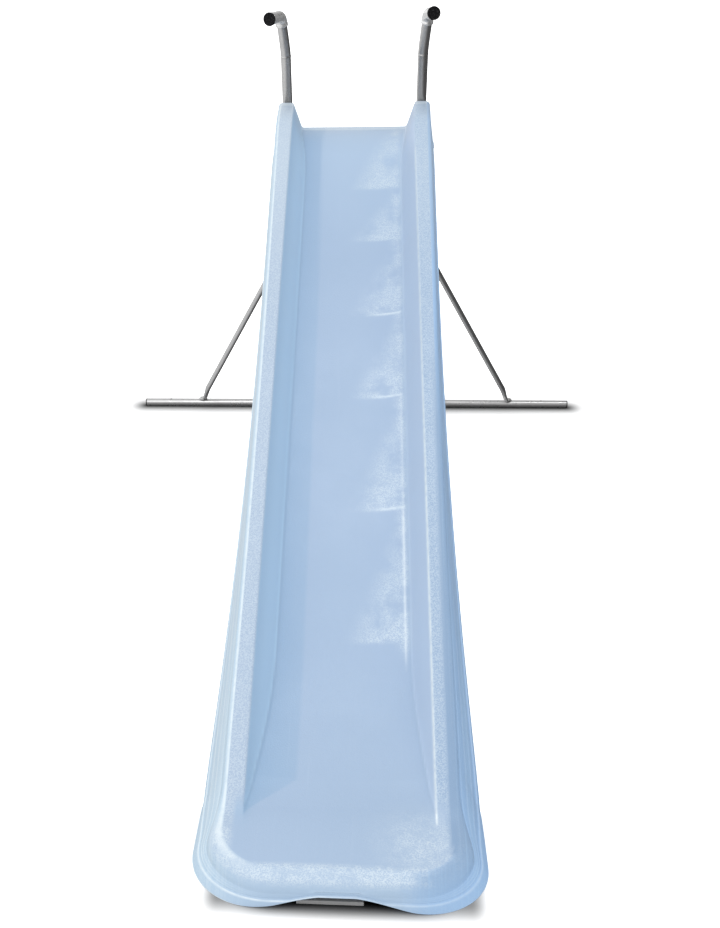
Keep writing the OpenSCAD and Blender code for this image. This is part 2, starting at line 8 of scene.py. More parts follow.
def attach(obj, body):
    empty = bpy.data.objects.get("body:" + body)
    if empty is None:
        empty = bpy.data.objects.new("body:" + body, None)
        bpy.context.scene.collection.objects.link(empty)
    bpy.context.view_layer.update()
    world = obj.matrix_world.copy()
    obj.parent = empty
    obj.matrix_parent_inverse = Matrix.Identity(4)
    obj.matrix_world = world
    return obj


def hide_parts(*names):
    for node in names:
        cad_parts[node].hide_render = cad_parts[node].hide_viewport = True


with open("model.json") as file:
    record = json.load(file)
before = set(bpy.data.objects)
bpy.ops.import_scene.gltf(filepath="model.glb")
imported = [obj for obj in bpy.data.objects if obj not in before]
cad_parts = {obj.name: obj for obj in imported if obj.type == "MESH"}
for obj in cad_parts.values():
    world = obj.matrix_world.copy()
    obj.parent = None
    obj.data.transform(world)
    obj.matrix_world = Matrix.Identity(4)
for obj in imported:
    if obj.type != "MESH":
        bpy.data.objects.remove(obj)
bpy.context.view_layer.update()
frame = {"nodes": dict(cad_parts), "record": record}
scene = bpy.context.scene

# ---------------------------------------------------------------- the slide's dimensions, mm
# profile of the chute floor along the run
DECK_H, DECK_FLAT, CREST_R, SLOPE = 1135.0, 60.0, 300.0, math.radians(31.5)
DIP_R, RUNOUT, EXIT_H, EXIT_SLOPE = 920.0, 178.0, 68.0, math.radians(3.0)
# cross section: half widths of the trough and of the whole chute, heights of the walls and the ears
TROUGH_TOP, TROUGH_EXIT, WALL_H, EAR_H = 183.0, 207.0, 142.0, 84.0
BAND_TOP, BAND_GROW, EAR_SPLAY, SPLAY_LENGTH = 223.0, 20.0, 10.0, 300.0
FLOOR_HALF, FLOOR_RISE = 84.0, 54.0    # half width of the level floor where the walls rise at least this high
DRAFT, APRON = math.tan(math.radians(17)), math.tan(math.radians(8))
WAVE_L, WAVE_A, RIB_T = 255.0, 0.9, 3.0
# rolled edge, skirt and the arch over the foot
SHELL_T, RIM_R, LIP_R, SKIRT, BAND_H = 5.0, 12.0, 38.0, 150.0, 20.0
SIDE_TOP, SIDE_GROW, FLARE_Q = 22.0, 42.0, 1990.0
REAR_CORNER, LEFT_CORNER, RIGHT_CORNER = 6.0, 112.0, 90.0
ARCH_H, ARCH_HALF = 29.0, 195.0
# ladder tubes, with the joint between upright and handrail and the corner of each elbow
LEAN, TUBE_R, BAR_R, GAP = math.radians(18.5), 16.0, 14.0, 0.3
STILE_X, GRIP_X, GRIP_Z, JOINT_Z = 214.0, 225.0, 1488.0, 1363.0
GRIP_REACH, GRIP_R = 78.0, 19.5
# painted reflection patches on the sliding floor: where along the run each one ends, and how strong it is
REFLECTION_PATCH_ENDS, REFLECTION_PATCH_STRENGTH = (60, 356, 534, 780, 1028, 1336, 1656), (1.0, 0.9, 0.9, 1.0, 1.0, 1.0)
WALL_FOOT = 50.0    # distance from the trough's edge to the foot of its wall


def clamp(v, lo, hi):
    return np.minimum(np.maximum(v, lo), hi)


def ease(v):
    u = clamp(v, 0, 1)
    return u * u * (3 - 2 * u)


def up(v, lo, hi):
    """Smooth step from 0 at lo to 1 at hi."""
    return ease((v - lo) / (hi - lo))


def down(v, lo, hi):
    """Smooth step from 1 at lo to 0 at hi."""
    return ease((hi - v) / (hi - lo))


def bell(v, centre, width):
    return np.exp(-((v - centre) / width) ** 2)


def soft_max(a, b, k):
    return (a + b + np.sqrt((a - b) ** 2 + k * k)) / 2


def soft_min(a, b, k):
    return (a + b - np.sqrt((a - b) ** 2 + k * k)) / 2


# ---------------------------------------------------------------- chute profile along the run q
Q1 = DECK_FLAT + CREST_R * math.sin(SLOPE)
Z1 = DECK_H - CREST_R * (1 - math.cos(SLOPE))
FALL = (Z1 - EXIT_H - DIP_R * (math.cos(EXIT_SLOPE) - math.cos(SLOPE))
        - RUNOUT * math.sin(EXIT_SLOPE))
Q2 = Q1 + FALL / math.tan(SLOPE)
Z2 = Z1 - FALL
Q3 = Q2 + DIP_R * (math.sin(SLOPE) - math.sin(EXIT_SLOPE))
Z3 = Z2 - DIP_R * (math.cos(EXIT_SLOPE) - math.cos(SLOPE))
RUN = Q3 + RUNOUT * math.cos(EXIT_SLOPE)
Q_OUT = RUN - LEFT_CORNER


def line_z(q):
    return Z1 - (q - Q1) * math.tan(SLOPE)


def floor_z(q):
    crest = DECK_H - CREST_R + np.sqrt(np.maximum(CREST_R ** 2 - (q - DECK_FLAT) ** 2, 0))
    centre = Q2 + DIP_R * math.sin(SLOPE)
    dip = Z2 + DIP_R * math.cos(SLOPE) - np.sqrt(np.maximum(DIP_R ** 2 - (q - centre) ** 2, 0))
    return np.select([q < DECK_FLAT, q < Q1, q < Q2, q < Q3],
                     [DECK_H + 0 * q, crest, line_z(q), dip],
                     Z3 - (q - Q3) * math.tan(EXIT_SLOPE))


def wall_top_z(q):
    return soft_min(line_z(q) + WALL_H, DECK_H + EAR_H, 30)


def rim_z(q):
    return soft_max(wall_top_z(q), floor_z(q), 16)


def sill_z(q):
    """Lower edge of the skirt."""
    return np.maximum(0, wall_top_z(q) - SKIRT)


def splay(q):
    return EAR_SPLAY * clamp(1 - q / SPLAY_LENGTH, 0, 1) ** 2


def inner_w(q):
    return TROUGH_TOP + (TROUGH_EXIT - TROUGH_TOP) * q / RUN + splay(q)


def floor_w(w, rise):
    """Half width of the level floor, which reaches the trough's edge where no wall rises."""
    return w - (w - FLOOR_HALF) * clamp(rise / FLOOR_RISE, 0, 1)


def flare(q):
    return soft_min(q / FLARE_Q, 1, 0.05) ** 3


def full_w(q):
    return BAND_TOP + BAND_GROW * flare(q) + splay(q) * 0.6


def wave(q):
    return up(q, 200, 400) * down(q, RUN - 450, RUN - 250)


def crests(q):
    return 1 + np.cos(2 * np.pi * q / WAVE_L)


def top_z(ax, q):
    """Height of the upper surface at a distance ax from the middle."""
    w, zf = inner_w(q), floor_z(q)
    h = rim_z(q) - zf
    past_deck = up(q, 0, 240)
    apron = (ax - floor_w(w, h)) * APRON * past_deck * clamp(h / 100, 0, 1)
    bed = soft_max(0 * ax, apron, 4 * past_deck)
    side = h - (w - ax) / DRAFT
    dish = soft_max(bed, side, 4 + 9 * past_deck)
    sink = WAVE_A * wave(q) * crests(q) * down(ax, 120, 180)
    return zf + soft_min(dish, h, np.minimum(7, h / 2) + 0.01) - sink


def corner_cut(u, r):
    return r * (1 - np.sqrt(1 - clamp(u / r, 0, 1) ** 2))


def edge_w(q, r):
    return full_w(q) - corner_cut(REAR_CORNER - q, REAR_CORNER) - corner_cut(q - RUN + r, r)


def stile_y(z):
    """Front of the leaning uprights, which the rear skirt lies against."""
    return -(z - BAR_R) * math.tan(LEAN) - TUBE_R / math.cos(LEAN) - GAP


def chute_y(q, z):
    return (stile_y(DECK_H) - RIM_R * (1 - math.tan(LEAN)) - q
            - (z - DECK_H) * math.tan(LEAN) * clamp(1 - q / SPLAY_LENGTH, 0, 1))


def arch(x):
    return np.minimum(1, 1.1 * np.cos(np.pi / 2 * clamp(np.abs(x) / ARCH_HALF, 0, 1)) ** 2)


def foot_z(q, x):
    """Lower edge of the skirt with the arch over the foot."""
    return np.maximum(sill_z(q), ARCH_H * arch(x) * up(q, Q_OUT, Q_OUT + 60))


# ---------------------------------------------------------------- meshes
def add_mesh(name, verts, faces):
    """A smooth mesh object from vertices in mm."""
    mesh = bpy.data.meshes.new(name)
    mesh.from_pydata([tuple(v) for v in np.asarray(verts) * 0.001], [], faces)
    mesh.validate()
    mesh.update()
    mesh.shade_smooth()
    obj = bpy.data.objects.new(name, mesh)
    scene.collection.objects.link(obj)
    return obj


def add_mark(obj, name, values):
    """A number per vertex, for the material to paint with."""
    mark = obj.data.attributes.new(name, "FLOAT", "POINT")
    mark.data.foreach_set("value", values.astype(np.float32))


def stand_in(obj, node):
    """obj is the finer form of one CAD piece."""
    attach(obj, "root")
    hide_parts(node)
    return obj


# ---------------------------------------------------------------- chute
ROLL, WALL, BAND = 0, 1, 2    # zones of the skirt: rolled edge, side wall, thick band along its foot

# rings of the skirt: zone, angle on the roll or else share of the zone's height, outward bump,
# brightness of the painted highlight on the moulded line there
OUTER_RINGS = [(ROLL, math.radians(a), 0, lit)
               for a, lit in ((12, 0.8), (24, 0.55), (36, 0.1), (48, 0), (60, 0), (72, 0), (82, 0))]
OUTER_RINGS += [(WALL, 0, 0, 0), (WALL, 0.12, 0, 0), (WALL, 0.135, 0.6, 0.5), (WALL, 0.15, 1.0, 0),
                (WALL, 0.40, 1.0, 0), (WALL, 0.43, 1.2, 0.2), (WALL, 0.46, 1.7, 0.5), (WALL, 0.49, 1.9, 0),
                (WALL, 0.6, 1.9, 0), (WALL, 0.71, 2.0, 0), (WALL, 0.74, 2.3, 0.2), (WALL, 0.77, 2.9, 0.5),
                (WALL, 0.80, 3.1, 0), (WALL, 0.93, 2.7, 0), (WALL, 0.985, 2.5, 0),
                (BAND, 0.02, 3.2, 0), (BAND, 0.07, 5.2, 0.7), (BAND, 0.14, 6.0, 0.4), (BAND, 0.25, 6.2, 0),
                (BAND, 0.86, 6.2, 0), (BAND, 0.95, 6.1, 0.6), (BAND, 0.99, 5.6, 0.5), (BAND, 1.0, 4.6, 0)]
INNER_RINGS = [(ROLL, math.radians(30), 0, 0), (ROLL, math.radians(60), 0, 0), (WALL, 0, 0, 0),
               (WALL, 0.5, 0, 0), (BAND, 0.9, 0, 0), (BAND, 1.0, 0.8, 0)]
OUTER_STEP, INNER_STEP = 0.42, 1.2    # least height from ring to ring where the arch presses them together


def chute_grid():
    """Stations along the run and across it, dense at the creases and round the corners."""
    rear = REAR_CORNER * (1 - np.cos(np.linspace(0, np.pi / 2, 8)[:-1]))
    exit_end = Q_OUT + LEFT_CORNER * np.sin(np.linspace(0, np.pi / 2, 33)[1:])
    q = np.concatenate([rear, np.linspace(REAR_CORNER, Q_OUT, 640), exit_end])
    shares = np.concatenate([np.linspace(0, 0.7, 15)[:-1], np.linspace(0.7, 0.94, 15)[:-1],
                             np.linspace(0.94, 1.03, 13)])
    w, full = inner_w(q), full_w(q)
    trough, start = [share * w for share in shares], shares[-1] * w
    flange = [start + (full - start) * share for share in (0.25, 0.5, 0.75, 1.0)]
    half = np.array(trough + flange).T
    left, right = ((edge_w(q, r) / full)[:, None] for r in (LEFT_CORNER, RIGHT_CORNER))
    x = np.concatenate([-half[:, :0:-1] * left, half * right], axis=1)
    return q, x


def surface_marks(x, q, slope):
    """Paint on the upper surface: painted shade on the left wall and the right roll, rims, painted highlight
    on the stippled run-out, painted reflection patches and painted highlights along edges.
    """
    ax, w = np.abs(x), inner_w(q)
    rise = rim_z(q) - floor_z(q)
    flat = floor_w(w, rise)
    up_wall = clamp((-x - flat) / np.maximum(w - flat, 1), 0, 1)
    # painted shade on the left wall, which faces away from the light; deepest near the rim
    left_wall_shade = (up(-x, flat + 8, flat + 12) * down(ax, w - 2, w + 1) * up(rise, 0, 5)
                 * (0.45 + 0.55 * up_wall))
    # painted shade on the right side of the roll, outside the trough
    right_roll_shade = up(x, w + 20, w + 30) * up(q, 800, 1300)
    walled, brim = up(rise, 4, 28), w * 1.06
    rim = up(ax, w - 3, w + 2) * walled + up(ax, brim, brim + 14) * (1 - walled)
    rim = rim * down(q, RUN - 140, RUN - 20) * (1 - right_roll_shade)
    # painted shade: a darker strip just inside the left rim
    shade = bell(np.maximum(w - ax, 0), 0, 15) * down(x, -60, 60) * up(rise, 0, 8)
    # painted reflection at the right corner of the exit; with it, painted highlight on the run-out's roll and
    # flange
    corner_reflection = 0.95 * bell(x, 180, 78) * bell(q, RUN - 70, 90)
    runout = np.maximum(up(q, RUN - 16, RUN), corner_reflection) * down(rise, 0, 30)
    flange = up(ax, w * 1.05, w * 1.05 + 18) * up(q, RUN - 150, RUN - 90)
    runout = np.maximum(runout, flange) * (1 - right_roll_shade)

    # painted reflection patches: each widens and brightens down the run and stops short; a narrow streak of
    # painted reflection joins them by the wall
    count = np.interp(q, REFLECTION_PATCH_ENDS, np.arange(len(REFLECTION_PATCH_ENDS)))
    lobe = np.minimum(np.floor(count), len(REFLECTION_PATCH_ENDS) - 2).astype(int)
    part = count - lobe
    wedge = up(x, w - 75 - 140 * part, w - 35 - 80 * part) * down(ax, w - WALL_FOOT, w - WALL_FOOT + 5)
    span = up(q, REFLECTION_PATCH_ENDS[0], REFLECTION_PATCH_ENDS[0] + 60) * down(q, REFLECTION_PATCH_ENDS[-1] - 10, REFLECTION_PATCH_ENDS[-1])
    reflection_lobe = (np.array(REFLECTION_PATCH_STRENGTH)[lobe] * wedge * span * (0.35 + 0.65 * part)
             * down(part, 0.95, 1.0))
    reflection_streak = 0.85 * bell(x, w - WALL_FOOT - 6, 14) * up(q, 40, 100) * down(q, 1640, 1700)

    # painted highlights, as thin bright lines: ends of the reflection patches, foot and top crease of the
    # right wall, rear edge of the deck
    ends = (up(x, 38, 108) * down(ax, w - WALL_FOOT, w - WALL_FOOT + 4) * bell(part, 0.965, 0.012)
            * up(q, 700, 750) * down(q, 1420, 1460))
    foot = (0.9 * bell(x, w - WALL_FOOT - 3, 3.0) * up(q, 1320, 1345) * down(q, 1640, 1730)
            + 0.35 * bell(x, w - WALL_FOOT - 3, 2.6) * up(q, 1000, 1060) * down(q, 1310, 1335))
    crease = (bell(x, w - 1, 2.4) * (0.65 + 0.35 * up(q, 900, 1400)) * up(q, 330, 390)
              * down(q, 2125, 2137))
    edge = np.maximum.reduce([0.6 * ends, 0.85 * foot, crease, 0.40 * down(q, 40, 70)])
    return {"left_wall_shade": left_wall_shade, "rim": rim, "shade": shade, "runout": runout,
            "reflection_patch": np.maximum(reflection_lobe, reflection_streak), "steep": up(slope, 0.4, 1.9),
            "right": up(x, -20, 20), "edge": edge, "right_roll_shade": right_roll_shade}


def skirt_marks(x, q, facing):
    """Paint on the outside of the skirt, one row per ring: painted highlights on the moulded lines and on the
    roll at the exit, painted shade on the right side of the roll; facing is how much the outline looks ahead.
    """
    zone, place, _, lit = (np.array(column)[:, None] for column in zip(*OUTER_RINGS))
    rolled, left = (zone == ROLL) * 1.0, down(x, -60, 60)
    front = facing ** 2 * up(q, Q_OUT, Q_OUT + 30) * (1 - 0.7 * up(x, 110, 190))
    at_exit = up(q, RUN - 150, RUN - 90) * (1 - 0.85 * up(x, 140, 200))
    on_right = np.where(zone == ROLL, 0.0, 0.35)
    # painted highlights on the moulded lines, weaker on the right side
    lines = lit * (on_right + (1 - on_right) * left) * np.where(zone == BAND, 1, 1 - front)
    return {"runout": rolled * down(place, 0.75, 1.25) * at_exit, "right": 1 - left,
            "front": front, "edge": lines, "skirt": 1.0,
            "right_roll_shade": rolled * np.cos(place) * (1 - left) * up(q, 800, 1300) * (1 - front)}


def build_chute():
    q, x = chute_grid()
    ni, nj = x.shape[0] - 1, x.shape[1] - 1
    qq = np.repeat(q[:, None], nj + 1, axis=1)
    ax = np.abs(x)
    z = top_z(ax, qq)
    top = np.stack([x, chute_y(qq, z), z], axis=2)
    slope = top_z(ax + 0.5, qq) - top_z(np.maximum(0, ax - 0.5), qq)
    lean = np.sqrt(slope ** 2 + 1)
    wall = SHELL_T / math.cos(SLOPE) + RIB_T * wave(qq) * (crests(qq) / 2) ** 3 * down(ax, 100, 150)
    z_low = z - wall / lean
    x_low = np.sign(x) * (ax + np.where(ax > 0.1, wall * slope / lean, 0))
    low = np.stack([x_low, chute_y(qq, z_low), z_low], axis=2)

    # perimeter, counted round the outline from the rear left corner
    pi = np.concatenate([np.arange(ni), np.full(nj, ni), np.arange(ni, 0, -1), np.zeros(nj, int)])
    pj = np.concatenate([np.zeros(ni, int), np.arange(nj), np.full(ni, nj), np.arange(nj, 0, -1)])
    plan = np.stack([x[pi, pj], -q[pi]], axis=1)
    d = np.roll(plan, -1, axis=0) - np.roll(plan, 1, axis=0)
    out = np.stack([d[:, 1], -d[:, 0]], axis=1)
    out /= np.linalg.norm(out, axis=1)[:, None]
    facing, backing = np.minimum(0, out[:, 1]), np.maximum(0, out[:, 1])
    pq, sill = q[pi], sill_z(q[pi])
    front = up(pq, Q_OUT, Q_OUT + 30)
    roll_r = np.minimum(RIM_R + (LIP_R - RIM_R) * up(pq, Q_OUT - 110, Q_OUT + 40),
                        top[pi, pj, 2] - sill - BAND_H - 6)

    def ring(base, thickness, zone, place, bump, keep):
        """Points of one skirt ring, at least keep above the skirt's lower edge."""
        b = base[pi, pj]
        r = roll_r - thickness
        under_roll, over_band = b[:, 2] - r, sill + BAND_H
        if zone == ROLL:
            zz = b[:, 2] - r * (1 - math.cos(place))
        elif zone == WALL:
            zz = under_roll + (over_band - under_roll) * place
        else:
            zz = over_band - place * BAND_H
        if zone != ROLL:
            zz = np.maximum(foot_z(pq, b[:, 0]) + keep, zz)
        side = ((SIDE_TOP + SIDE_GROW * flare(pq))
                * (1 - (0.27 + 0.15 * arch(b[:, 0])) * facing ** 4 * front))
        wide = r + (side - thickness - r) * clamp((under_roll - zz) / (under_roll - sill), 0, 1)
        rearward = np.where(pq > REAR_CORNER, 0, backing ** 2)
        rear = stile_y(under_roll if zone == ROLL else zz) - thickness / math.cos(LEAN) - b[:, 1]
        if zone == WALL:
            bump = bump * (1 - 0.85 * facing ** 2 * front)
        reach = (wide + bump) * (1 - rearward) + rear * rearward
        if zone == ROLL:
            reach = reach * math.sin(place)
        return np.stack([b[:, 0] + out[:, 0] * reach, b[:, 1] + out[:, 1] * reach, zz], axis=1)

    def skirt(base, thickness, rings, step):
        return [ring(base, thickness, *r[:3], step * (len(rings) - 1 - k)) for k, r in enumerate(rings)]

    outer, inner = skirt(top, 0.0, OUTER_RINGS, OUTER_STEP), skirt(low, SHELL_T, INNER_RINGS, INNER_STEP)
    verts = np.concatenate([top.reshape(-1, 3), low.reshape(-1, 3)] + outer + inner)

    # quads: both surfaces, the rings outside and inside, and the lower edge that joins them
    grid = np.arange(x.size).reshape(x.shape)
    size, around = x.size, len(pi)

    def sheet(*corners):
        return np.stack(corners, axis=-1).reshape(-1, 4)

    def strip(a, b):
        return sheet(b, np.roll(b, -1), np.roll(a, -1), a)

    rings = [2 * size + k * around + np.arange(around) for k in range(len(outer) + len(inner))]
    out_ids = [grid[pi, pj]] + rings[:len(outer)]
    in_ids = [size + grid[pi, pj]] + rings[len(outer):]
    quads = [sheet(grid[1:, :-1], grid[1:, 1:], grid[:-1, 1:], grid[:-1, :-1]),
             size + sheet(grid[:-1, :-1], grid[:-1, 1:], grid[1:, 1:], grid[1:, :-1])]
    quads += [strip(a, b) for a, b in zip(out_ids[:-1], out_ids[1:])]
    quads += [strip(b, a) for a, b in zip(in_ids[:-1], in_ids[1:])]
    quads.append(strip(out_ids[-1], in_ids[-1]))
    obj = add_mesh("chute_shell", verts, np.concatenate(quads).tolist())

    # the underside and the inside of the skirt carry no paint
    surface, skirted = surface_marks(x, qq, slope), skirt_marks(x[pi, pj], pq, facing)
    for name in {**surface, **skirted}:
        above = np.broadcast_to(surface.get(name, 0.0), x.shape).ravel()
        beside = np.broadcast_to(skirted.get(name, 0.0), (len(outer), around)).ravel()
        add_mark(obj, name, np.concatenate([above, np.zeros(size), beside, np.zeros(len(inner) * around)]))
    return stand_in(obj, "chute")


chute = build_chute()


# ---------------------------------------------------------------- swept and turned pieces
ASKEW = Vector((0.3, 0.2, 0.93))    # along no tube of the slide, so it gives each one a cross direction


def circle(centre, side, other, radius, segs):
    angles = [2 * math.pi * m / segs for m in range(segs)]
    return [centre + (side * math.cos(a) + other * math.sin(a)) * radius for a in angles]


def ring_mesh(name, verts, segs):
    """Quads between successive rings of segs vertices, with a cap at each end."""
    count, faces = len(verts) // segs, []
    for k in range(count - 1):
        for m in range(segs):
            n = (m + 1) % segs
            faces.append((k * segs + m, k * segs + n, (k + 1) * segs + n, (k + 1) * segs + m))
    faces.append(tuple(range(segs))[::-1])
    faces.append(tuple((count - 1) * segs + m for m in range(segs)))
    return add_mesh(name, [tuple(v) for v in verts], faces)


def sweep(name, path, radii, segs=40):
    """A round sweep along path (mm) with one radius per point; the cross direction is carried along."""
    last = len(path) - 1
    tangents = [(path[min(k + 1, last)] - path[max(k - 1, 0)]).normalized() for k in range(last + 1)]
    side = tangents[0].cross(ASKEW).normalized()
    verts = []
    for point, t, radius in zip(path, tangents, radii):
        side = (side - t * side.dot(t)).normalized()
        verts += circle(point, side, t.cross(side), radius, segs)
    return ring_mesh(name, verts, segs)


def lathe(name, base, axis, profile, segs=48):
    """A turned piece from pairs of height along the axis and radius, closed at both ends."""
    axis = axis.normalized()
    side = axis.cross(ASKEW).normalized()
    other = axis.cross(side)
    verts = []
    for height, radius in profile:
        verts += circle(base + axis * height, side, other, radius, segs)
    return ring_mesh(name, verts, segs)


def bend(p0, p1, p2, reach, steps=14):
    """Rounded corner at p1 between p0 and p2, leaving each leg at the given reach."""
    a = p1 + (p0 - p1).normalized() * reach
    c = p1 + (p2 - p1).normalized() * reach
    shares = [k / steps for k in range(steps + 1)]
    return [a * (1 - t) ** 2 + p1 * 2 * t * (1 - t) + c * t * t for t in shares]


def on_ladder(x, z):
    return Vector((x, -(z - BAR_R) * math.tan(LEAN), z))


def flip(points, side):
    """Points of the right hand side (1) or their mirror images on the left (-1)."""
    return [Vector((p.x * side, p.y, p.z)) for p in points]


SIDES = {-1: "left", 1: "right"}
STILE_DIR = Vector((0, -math.sin(LEAN), math.cos(LEAN)))
JOINT, CORNER = on_ladder(STILE_X, JOINT_Z), on_ladder(GRIP_X, GRIP_Z)
RAIL_DIR = (CORNER - JOINT - STILE_DIR * 1.5).normalized()

# profiles in pairs of distance and radius: bead at the handrail's joint, collar of the elbow and
# taper of its arm, and the domed cap with a shallow dish
JOINT_BEAD = [(0, TUBE_R - 0.2), (0.4, TUBE_R + 0.7), (1.4, TUBE_R + 0.9), (2.6, TUBE_R + 0.9),
              (3.8, TUBE_R + 0.5), (4.6, TUBE_R)]
ARM_R = GRIP_R - 1.4
COLLAR = [(0, TUBE_R + 0.25), (0.2, GRIP_R - 1.2), (1.2, GRIP_R - 0.2), (2.2, GRIP_R), (7.5, GRIP_R),
          (8.3, GRIP_R - 0.8), (9.2, ARM_R)]
ARM_TAPER = [(0.3, ARM_R), (0.55, GRIP_R - 1.2), (0.8, GRIP_R - 0.6), (0.93, GRIP_R - 0.2),
             (1.0, GRIP_R - 0.2)]
DISH_R, DISH_RINGS = GRIP_R - 5.0, 7
CAP = [(-0.6, GRIP_R - 1), (0.2, GRIP_R + 0.3), (1.0, GRIP_R + 0.8), (2.6, GRIP_R + 0.8),
       (3.8, GRIP_R + 0.2), (4.5, GRIP_R - 1.2), (4.6, GRIP_R - 3.0), (4.2, GRIP_R - 4.0),
       (3.5, GRIP_R - 4.4), (3.4, DISH_R)]
CAP += [(3.9 if k % 2 else 3.4, DISH_R * (1 - k / DISH_RINGS)) for k in range(1, DISH_RINGS)]


def handrail(side):
    start, knee, top = JOINT + STILE_DIR * 0.4, JOINT + STILE_DIR * 1.5, CORNER - RAIL_DIR * 4
    turn = bend(start + STILE_DIR * 5, knee + (RAIL_DIR + STILE_DIR) * 14, top, 20)
    turn += [turn[-1].lerp(top, t) for t in (0.25, 0.5, 0.75, 1.0)]
    path = [start + STILE_DIR * d for d, _ in JOINT_BEAD] + turn
    radii = [r for _, r in JOINT_BEAD] + [TUBE_R] * len(turn)
    rail = sweep("rail_" + SIDES[side], flip(path, side), radii)
    return stand_in(rail, SIDES[side] + "_handrail")


def grip(side, turn, tilt):
    """Elbow and cap of one grip: the arm is turned outwards and tilted up by these degrees."""
    turn, tilt = math.radians(turn), math.radians(tilt)
    arm = Vector((math.sin(turn) * math.cos(tilt), -math.cos(turn) * math.cos(tilt), math.sin(tilt)))
    foot, end = CORNER - RAIL_DIR * 30, CORNER + arm * GRIP_REACH
    arc = bend(foot, CORNER + (RAIL_DIR - arm) * 0.5, end, 19, 18)
    path = ([foot + RAIL_DIR * d for d, _ in COLLAR] + arc
            + [arc[-1].lerp(end, t) for t, _ in ARM_TAPER])
    radii = [r for _, r in COLLAR] + [ARM_R] * len(arc) + [r for _, r in ARM_TAPER]
    elbow = sweep("elbow_" + SIDES[side], flip(path, side), radii, 48)
    cap = lathe("cap_" + SIDES[side], *flip([end, arm], side), CAP)
    return (stand_in(elbow, SIDES[side] + "_elbow"),
            stand_in(cap, SIDES[side] + "_grip_cap"))


rails = [handrail(-1), handrail(1)]
grips = [grip(-1, 22, 0), grip(1, 10, 7)]


# ---------------------------------------------------------------- materials
class Nodes:
    """A short hand for building a node tree."""

    def __init__(self, name):
        self.mat = bpy.data.materials.new(name)
        self.mat.use_nodes = True
        self.tree = self.mat.node_tree
        self.bsdf = self.tree.nodes["Principled BSDF"]

    def new(self, kind, **inputs):
        node = self.tree.nodes.new(kind)
        for key, value in inputs.items():
            self.plug(value, node.inputs[key])
        return node

    def plug(self, value, socket):
        if isinstance(value, bpy.types.NodeSocket):
            self.tree.links.new(value, socket)
        else:
            socket.default_value = value

    def set(self, **values):
        for key, value in values.items():
            self.plug(value, self.bsdf.inputs[key.replace("_", " ")])

    def coords(self):
        return self.new("ShaderNodeTexCoord").outputs["Object"]

    def stretched(self, *scale):
        return self.new("ShaderNodeMapping", Vector=self.coords(), Scale=scale).outputs["Vector"]

    def axis(self, vector, letter):
        return self.new("ShaderNodeSeparateXYZ", Vector=vector).outputs[letter]

    def noise(self, scale, detail=3.0, rough=0.5, vector=None, distortion=0.0):
        return self.new("ShaderNodeTexNoise", Vector=vector or self.coords(), Scale=scale,
                        Detail=detail, Roughness=rough, Distortion=distortion).outputs["Fac"]

    def ramp(self, value, lo, hi, to_lo=0.0, to_hi=1.0):
        node = self.new("ShaderNodeMapRange")
        node.interpolation_type = "SMOOTHSTEP"
        names = ("Value", "From Min", "From Max", "To Min", "To Max")
        for key, end in zip(names, (value, lo, hi, to_lo, to_hi)):
            self.plug(end, node.inputs[key])
        return node.outputs["Result"]

    def math(self, op, a, b=0.0):
        node = self.new("ShaderNodeMath")
        node.operation = op
        self.plug(a, node.inputs[0])
        self.plug(b, node.inputs[1])
        return node.outputs[0]

    def times(self, a, b):
        return self.math("MULTIPLY", a, b)

    def most(self, a, b):
        return self.math("MAXIMUM", a, b)

    def less(self, value):
        return self.math("SUBTRACT", 1.0, value)

    def mix(self, fac, a, b):
        node = self.new("ShaderNodeMix")
        node.data_type = "RGBA"
        self.plug(fac, node.inputs[0])
        for value, socket in ((a, node.inputs[6]), (b, node.inputs[7])):
            self.plug(value if isinstance(value, bpy.types.NodeSocket) else (*value, 1.0), socket)
        return node.outputs[2]

    def attribute(self, name):
        node = self.new("ShaderNodeAttribute")
        node.attribute_name = name
        return node.outputs["Fac"]

    def ray(self, kind):
        return self.new("ShaderNodeLightPath").outputs["Is " + kind + " Ray"]

    def bump(self, height, strength, distance, normal=None):
        node = self.new("ShaderNodeBump", Strength=strength, Distance=distance, Height=height)
        if normal is not None:
            self.plug(normal, node.inputs["Normal"])
        return node.outputs["Normal"]


def srgb(r, g, b):
    def lin(c):
        c /= 255
        return c / 12.92 if c <= 0.04045 else ((c + 0.055) / 1.055) ** 2.4
    return lin(r), lin(g), lin(b)


def scaled(color, factor, lift=0.0):
    return tuple(c * factor + lift for c in color)


